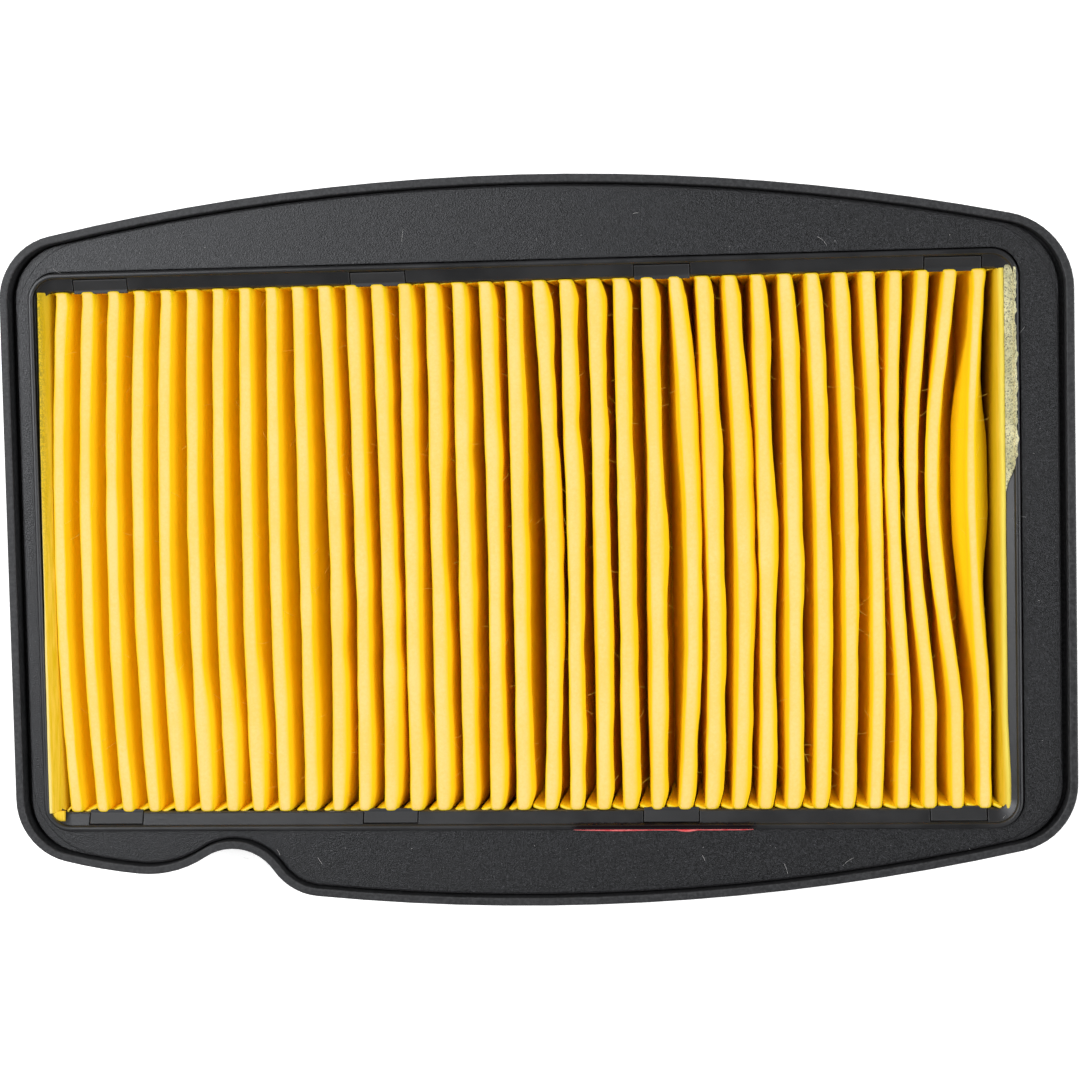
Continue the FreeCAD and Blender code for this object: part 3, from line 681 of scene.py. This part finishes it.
def make_media(material, flap_material):
    """The folded felt as one closed sheet, with the flaps' faces in their own material."""
    rows = row_places()
    upper = []
    lower = []
    columns = 0
    for y in rows:
        pairs = section(y)
        columns = len(pairs)
        for (ux, uz), (lx, lz) in pairs:
            rough = 0.035 * wobble(1, ux / 1.6 + uz / 1.1, y / 2.2)
            upper.append((ux + rough, y, uz + rough))
            lower.append((lx + rough, y, lz))
    points, faces = closed_slab(upper, lower, len(rows), columns)
    piece = make_piece("felt_pleats", points, faces, "filter_felt", material, "pleated_media")
    piece.data.materials.append(flap_material)
    count = len(rows) * columns
    left_columns = len(left_flap(0.0, valley_points(0.5)[0]))
    right_columns = len(right_flap(0.0, valley_points(PLEATS + 0.5)[-1]))
    for face in piece.data.polygons:
        spots = [v % count % columns for v in face.vertices]
        if max(spots) < left_columns or min(spots) >= columns - right_columns:
            face.material_index = 1
    return piece


# ---------------------------------------------------------------- end webs

def wall_at(number, side, y, height):
    """Where the dirty side of a pleat's wall is at a height. Pleats 0 and 36 are the end flaps."""
    if number < 1:
        return -86.9 + 0.9 * (FLAP_TOP - height) / FLAP_TOP
    if number > PLEATS:
        return 86.7 - 0.9 * (FLAP_TOP - height) / FLAP_TOP
    crest = crest_points(number, y)
    top = crest[-1][0] if side > 0 else crest[0][0]
    foot_x = (number + side * 0.5 - MIDDLE_PLEAT) * PITCH - side * SLIT
    t = clamp((top[1] - height) / (top[1] - MEDIA_BOTTOM - SHEET))
    return lerp(top[0], foot_x, t)


def web_gap(number, end):
    """How far a web stops short of the pleat on its left, and how far in its two sides stand."""
    if end > 0:
        return 0.0, 0.25, 0.05
    if number <= 8:
        return 0.0, 0.05, 0.95
    if number <= 17:
        return 0.95 + 0.25 * wobble(number, 0.7), 0.15, 0.55
    return 0.25 + 0.15 * wobble(number, 0.7), 0.75, 0.20


def make_webs(name, end, slot_name, material, node):
    """The felt folded across each gap between two pleats at one end of them.
    end is 1 at the back and -1 at the front."""
    across = 10
    down = 12
    front = end < 0
    thick = 0.45 if front else 0.2
    rim_height = 25.1 if front else 24.4
    scoop_deep = 0.55 if front else 0.0
    points = []
    faces = []
    for number in range(0, PLEATS + 1):
        gap, left_in, right_in = web_gap(number, end)
        top = rim_height + 0.12 * wobble(number + 5, 0.2)
        outer = []
        inner = []
        for d in range(down + 1):
            for a in range(across + 1):
                u = a / across
                depth = (top - MEDIA_BOTTOM - 1.2) * (d / down) ** 1.5
                corner = 0.7 * (1 - math.sqrt(1 - (1 - clamp(u / 0.4)) ** 2))
                height = top - depth - corner * max(0.0, 1 - depth / 3)
                slot_width = gap * (1 - ease((depth - 10) / 5))
                scoop = scoop_deep * (1 - math.exp(-depth / 2.2))
                inset = lerp(left_in, right_in, ease(u)) + scoop + 0.03 * depth
                y = end * (FELT_HALF_Y - inset)
                left = wall_at(number, 1, y, height) - 0.10 + slot_width
                right = wall_at(number + 1, -1, y, height) + 0.10
                x = lerp(left, right, u)
                inner.append((x, y, height))
                outer.append((x, y + end * thick, height - 0.08))
        made, quads = closed_slab(inner, outer, down + 1, across + 1)
        if end > 0:
            quads = [q[::-1] for q in quads]
        first = len(points)
        points += made
        faces += [tuple(i + first for i in q) for q in quads]
    return make_piece(name, points, faces, slot_name, material, node)


def make_foot(material):
    """The felt's front left corner, which turns over onto the ledge and is cut off square."""
    columns = 9
    rows = 7
    upper = []
    lower = []
    for r in range(rows):
        for c in range(columns):
            u = c / (columns - 1)
            v = r / (rows - 1)
            corner = 1.3 * (1 - math.sqrt(1 - (1 - clamp(u / 0.5)) ** 2)) * v
            x = lerp(-89.25 + 0.5 * v, -86.75, u)
            y = lerp(-48.3, -50.25 + corner, v)
            edge = min(1.0, min(v, 1 - v) * 5 + 0.35)
            rough = 0.06 * wobble(61, x / 0.8, y / 0.8)
            upper.append((x, y, 26.20 + 0.45 * edge * (1 - 0.3 * u) + rough))
            lower.append((x, y, 25.80))
    points, faces = closed_slab(upper, lower, rows, columns)
    faces = [f[::-1] for f in faces]
    return make_piece("felt_corner", points, faces, "filter_felt", material)


def make_glue_line(name, end, slot_name, material, node):
    """The bead of hot-melt between the felt's ends and the tray wall, uneven along its top."""
    rows = 160
    half_x = 87.4
    upper = []
    lower = []
    for r in range(rows + 1):
        x = lerp(-half_x, half_x, r / rows)
        top = 25.15 + 0.22 * wobble(31 + end, x / 3.0) + 0.12 * wobble(41 + end, x / 0.9)
        near = end * (FELT_HALF_Y - 0.05 + 0.06 * wobble(51 + end, x / 2.0))
        far = end * (FELT_HALF_Y + 0.33)
        profile = [(near, 20.0), (near, top - 0.35), (lerp(near, far, 0.35), top), (far, top + 0.15)]
        upper += [(x, y, z) for y, z in profile]
        lower += [(x, far, z) for z in (20.0, 21.0, 22.5, 24.0)]
    points, faces = closed_slab(upper, lower, rows + 1, 4)
    if end > 0:
        faces = [f[::-1] for f in faces]
    return make_piece(name, points, faces, slot_name, material, node)


# ---------------------------------------------------------------- foam, mark and lint

FELT_FIBRES = 300
FIBRE_RADIUS = 0.020
HAIR_RADIUS = 0.030
DUST_SPECKS = 30
SPECK_RADIUS = 0.032
# How far the foam thins out past its CAD solid's front and back ends.
FOAM_AHEAD = 9.5
FOAM_BEHIND = 2.7


def make_squeeze_out(material):
    """The foamed adhesive over the right ledge: a granular ribbon with a lobed outer edge."""
    low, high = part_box("adhesive_squeeze_out")
    first_y = (low.y - WINDOW_Y) / MM - FOAM_AHEAD
    last_y = (high.y - WINDOW_Y) / MM + FOAM_BEHIND
    inner_x = (low.x - WINDOW_X) / MM + 0.2
    # The ledge and the bead under the foam, as (x, z).
    ground = [(87.7, 25.58), (89.35, 26.36), (89.55, 27.34), (89.9, 27.46), (90.3, 27.34), (90.6, 27.0)]
    rows = 210
    columns = 17
    upper = []
    lower = []
    for r in range(rows + 1):
        y = lerp(first_y, last_y, r / rows)
        taper = clamp((y - first_y) / 6.5) * clamp((last_y - y) / 0.8 + 0.3)
        lobes = 2.05 + 0.40 * wobble(3, y / 2.3) + 0.25 * wobble(4, y / 0.8)
        reach = lobes * taper
        for c in range(columns + 1):
            u = c / columns
            x = inner_x + reach * u
            dome = math.sqrt(max(0.0, 1 - (2 * u - 1) ** 2))
            grains = 0.26 * wobble(5, x / 0.38, y / 0.38) + 0.16 * wobble(6, x / 0.17, y / 0.17)
            floor = along(ground, x)
            thick = min(1.0, 0.30 + 1.2 * dome) * (0.50 + 0.45 * taper)
            upper.append((x, y, floor + max(0.04, (0.42 + grains) * thick)))
            lower.append((x, y, floor - 0.25))
    points, faces = closed_slab(upper, lower, rows + 1, columns + 1)
    return make_piece("foam_ribbon", points, faces, "foamed_adhesive", material, "adhesive_squeeze_out")


def make_mark(material):
    """The painted line along the outer foot of the front bead, thicker where the brush stopped."""
    low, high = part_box("inspection_mark")
    start = (low.x - WINDOW_X) / MM
    finish = (high.x - WINDOW_X) / MM
    middle = ((low.y + high.y) / 2 - WINDOW_Y) / MM
    base = low.z / MM
    rows = 90
    columns = 6
    upper = []
    lower = []
    for r in range(rows + 1):
        x = lerp(start, finish, r / rows)
        ends = math.sqrt(clamp((x - start) / 5.0)) * math.sqrt(clamp((finish - x) / 3.0))
        half = (0.20 + 0.06 * wobble(7, x / 2.5)) * (0.30 + 0.70 * ends)
        half += 0.24 * bell(x, lerp(start, finish, 0.63), 1.9)
        half += 0.10 * bell(x, lerp(start, finish, 0.27), 4.5)
        for c in range(columns + 1):
            u = 2 * c / columns - 1
            y = middle + half * u
            dome = math.sqrt(max(0.0, 1 - u * u))
            upper.append((x, y, base + 0.10 + 0.26 * dome * (0.5 + 0.5 * ends)))
            lower.append((x, y, base - 0.05))
    points, faces = closed_slab(upper, lower, rows + 1, columns + 1)
    return make_piece("paint_mark", points, faces, "marking_paint", material, "inspection_mark")


def add_fibre(points, faces, start, lean, curl, length, radius):
    """One fibre as a thin three-sided tube that bends as it goes, finer at its tip."""
    sides = 3
    steps = 7
    tip = 0.4
    first = len(points)
    place = Vector(start)
    heading = Vector(lean).normalized()
    for step in range(steps + 1):
        thin = radius * (1.0 if step < steps else tip)
        across = heading.orthogonal().normalized()
        other = heading.cross(across)
        for side in range(sides):
            turn = 2 * math.pi * side / sides
            points.append(tuple(place + across * (thin * math.cos(turn)) + other * (thin * math.sin(turn))))
        heading = (heading + Vector(curl) / steps).normalized()
        place = place + heading * (length / steps)
    for step in range(steps):
        for side in range(sides):
            a = first + step * sides + side
            b = first + step * sides + (side + 1) % sides
            faces.append((a, b, b + sides, a + sides))
    faces.append(tuple(first + side for side in reversed(range(sides))))
    faces.append(tuple(first + steps * sides + side for side in range(sides)))


def chance(seed, low=0.0, high=1.0):
    """A repeatable number between low and high."""
    value = math.sin(seed * 12.9898 + 4.137) * 43758.5453
    return lerp(low, high, value - math.floor(value))


def make_felt_fibres(material):
    """Loose fibres standing off the pleats' shoulders."""
    points = []
    faces = []
    for n in range(FELT_FIBRES):
        number = 1 + int(chance(n + 1, 0, PLEATS - 0.01))
        y = chance(n + 401, -MEDIA_HALF_Y + 1, MEDIA_HALF_Y - 1)
        side = 1 if chance(n + 801) > 0.4 else -1
        crest = crest_points(number, y)
        x, z = crest[8][0] if side > 0 else crest[2][0]
        lean = (side * chance(n + 1201, 0.3, 1.0), chance(n + 1601, -1.0, 1.0), chance(n + 2001, -0.1, 0.5))
        curl = tuple(chance(n + k, -0.8, 0.8) for k in (2401, 2801, 3201))
        length = chance(n + 3601, 0.7, 2.6)
        add_fibre(points, faces, (x, y, z - 0.05), lean, curl, length, FIBRE_RADIUS)
    return make_piece("felt_fibres", points, faces, "filter_felt", material)


def make_dust(material):
    """Pale lint lying on the plate: a few hairs at chosen spots, and specks all round."""
    points = []
    faces = []
    low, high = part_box("flange_plate")
    top = high.z / MM + 0.03
    spots = [(-52, -57.5), (-46, -56.8), (-38, -58.5), (-20, 58.5), (22, 60.0), (55, 55.0),
             (33, -58.0), (48, -60.5), (60, -57.5), (86, -52), (-84, 52), (91.5, 4), (91.5, 38)]
    for n, (x, y) in enumerate(spots):
        lean = (chance(n + 11, -1, 1), chance(n + 31, -1, 1), 0.0)
        curl = (chance(n + 51, -1, 1), chance(n + 71, -1, 1), 0.0)
        add_fibre(points, faces, (x, y, top), lean, curl, chance(n + 91, 1.0, 2.8), HAIR_RADIUS)
    for n in range(DUST_SPECKS):
        edge = 1 if n % 2 else -1
        x = chance(n + 201, low.x - WINDOW_X + 0.012, high.x - WINDOW_X - 0.012) / MM
        y = edge * chance(n + 251, 53.5, 56.5)
        if n % 5 == 0:
            x, y = 93.0 + chance(n + 301, -1.0, 1.5), chance(n + 351, -40.0, 40.0)
        lean = (chance(n + 401, -1, 1), chance(n + 451, -1, 1), 0.0)
        length = chance(n + 501, 0.10, 0.30)
        add_fibre(points, faces, (x, y, top), lean, (0.2, 0.1, 0.0), length, SPECK_RADIUS)
    return make_piece("plate_lint", points, faces, "plate_plastic", material)


# ---------------------------------------------------------------- stage

FLOOR_HALF = 12.0
WORLD_OVERHEAD = 0.03
WORLD_AROUND = 0.42
# The world's light fades between these heights of a direction's unit vector.
FADE_STARTS = 0.72
FADE_ENDS = 0.97
BOUNCES = 22  # enough for light to find its way down between the pleats
LENS = 78.1
# The camera's axes and its place from the middle of the bead's top, in millimetres.
CAMERA_RIGHT = (0.9951, -0.0210, -0.0963)
CAMERA_BACK = (0.0974, 0.0559, 0.9937)
CAMERA_PLACE = (45.63, 25.21, 424.51)


def make_floor(material):
    """A square of paper round the object, wide enough to meet the horizon in a low view."""
    half = FLOOR_HALF
    corners = [(-half, -half, 0.0), (half, -half, 0.0), (half, half, 0.0), (-half, half, 0.0)]
    mesh = bpy.data.meshes.new("floor")
    mesh.from_pydata(corners, [], [(0, 1, 2, 3)])
    mesh.materials.append(material)
    floor = bpy.data.objects.new("floor", mesh)
    bpy.context.scene.collection.objects.link(floor)


def make_light(name, place, size, power, colour=(1.0, 1.0, 1.0)):
    """A square softbox at place, in metres, turned towards the object."""
    data = bpy.data.lights.new(name, "AREA")
    data.shape = "SQUARE"
    data.size = size
    data.energy = power
    data.color = colour
    light = bpy.data.objects.new(name, data)
    light.location = place
    light.rotation_euler = (-Vector(place)).to_track_quat("-Z", "Y").to_euler()
    bpy.context.scene.collection.objects.link(light)


def make_world(overhead, around):
    """Even white surroundings that are dimmer straight overhead, where the camera hangs."""
    world = bpy.data.worlds.new("studio")
    world.use_nodes = True
    nodes = world.node_tree.nodes
    links = world.node_tree.links
    direction = nodes.new("ShaderNodeTexCoord")
    split = nodes.new("ShaderNodeSeparateXYZ")
    fade = nodes.new("ShaderNodeMapRange")
    fade.interpolation_type = "SMOOTHSTEP"
    fade.inputs["From Min"].default_value = FADE_STARTS
    fade.inputs["From Max"].default_value = FADE_ENDS
    fade.inputs["To Min"].default_value = around
    fade.inputs["To Max"].default_value = overhead
    links.new(direction.outputs["Generated"], split.inputs[0])
    links.new(split.outputs["Z"], fade.inputs["Value"])
    links.new(fade.outputs["Result"], nodes["Background"].inputs["Strength"])
    nodes["Background"].inputs["Color"].default_value = (1.0, 1.0, 1.0, 1.0)
    bpy.context.scene.world = world


def make_camera():
    """The photo's viewpoint: nearly overhead, a little to the right and back of the window's middle."""
    data = bpy.data.cameras.new("camera")
    data.type = "PERSP"
    data.sensor_width = 36.0
    data.lens = LENS
    data.clip_start = 0.01
    data.clip_end = 20.0
    camera = bpy.data.objects.new("camera", data)
    right = Vector(CAMERA_RIGHT)
    back = Vector(CAMERA_BACK).normalized()
    up = back.cross(right).normalized()
    right = up.cross(back)
    x, y, z = CAMERA_PLACE
    eye = Vector((WINDOW_X + x * MM, WINDOW_Y + y * MM, BEAD_TOP + z * MM))
    turn = Matrix((right, up, back)).transposed().to_4x4()
    camera.matrix_world = Matrix.Translation(eye) @ turn
    bpy.context.scene.collection.objects.link(camera)
    bpy.context.scene.camera = camera


# ---------------------------------------------------------------- the object

def dress(node, material):
    """Gives a CAD node its finish."""
    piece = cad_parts[node]
    for place in range(len(piece.data.materials)):
        piece.data.materials[place] = material
    if not piece.data.materials:
        piece.data.materials.append(material)


# Each felt's crest colour is a painted highlight, laid where the felt is near the top and faces up.
yellow_felt = felt()
strip_felt = felt("strip_felt", (0.93, 0.68, 0.11, 1.0), (0.95, 0.72, 0.012, 1.0))
dress("flange_plate", plate_plastic())
dress("perimeter_seal", seal_rubber())
dress("window_bezel", bezel_plastic())
dress("element_tray", tray_plastic())
adhesive = glue()

flap = flap_felt()
make_media(yellow_felt, flap)
make_foot(flap)
make_webs("end_webs_rear", 1, "strip_felt", strip_felt, "end_strip_rear")
make_webs("end_webs_front", -1, "strip_felt", strip_felt, "end_strip_front")
make_glue_line("glue_line_rear", 1, "adhesive", adhesive, "adhesive_rear")
make_glue_line("glue_line_front", -1, "adhesive", adhesive, "adhesive_front")
make_squeeze_out(foam())
make_mark(marking_paint())
make_felt_fibres(lint("felt_lint", (0.90, 0.56, 0.04, 1.0), (0.97, 0.70, 0.12, 1.0)))
make_dust(lint("pale_lint", (0.45, 0.45, 0.46, 1.0), (0.62, 0.60, 0.58, 1.0)))

make_floor(floor_paper())
make_world(WORLD_OVERHEAD, WORLD_AROUND)
make_light("key", (-0.76, 0.26, 1.15), 0.75, 14.0)
make_light("fill", (0.98, -0.05, 0.90), 0.8, 9.8)
bpy.context.scene.cycles.max_bounces = BOUNCES
bpy.context.scene.cycles.diffuse_bounces = BOUNCES
make_camera()
bpy.context.scene.view_settings.view_transform = "Standard"
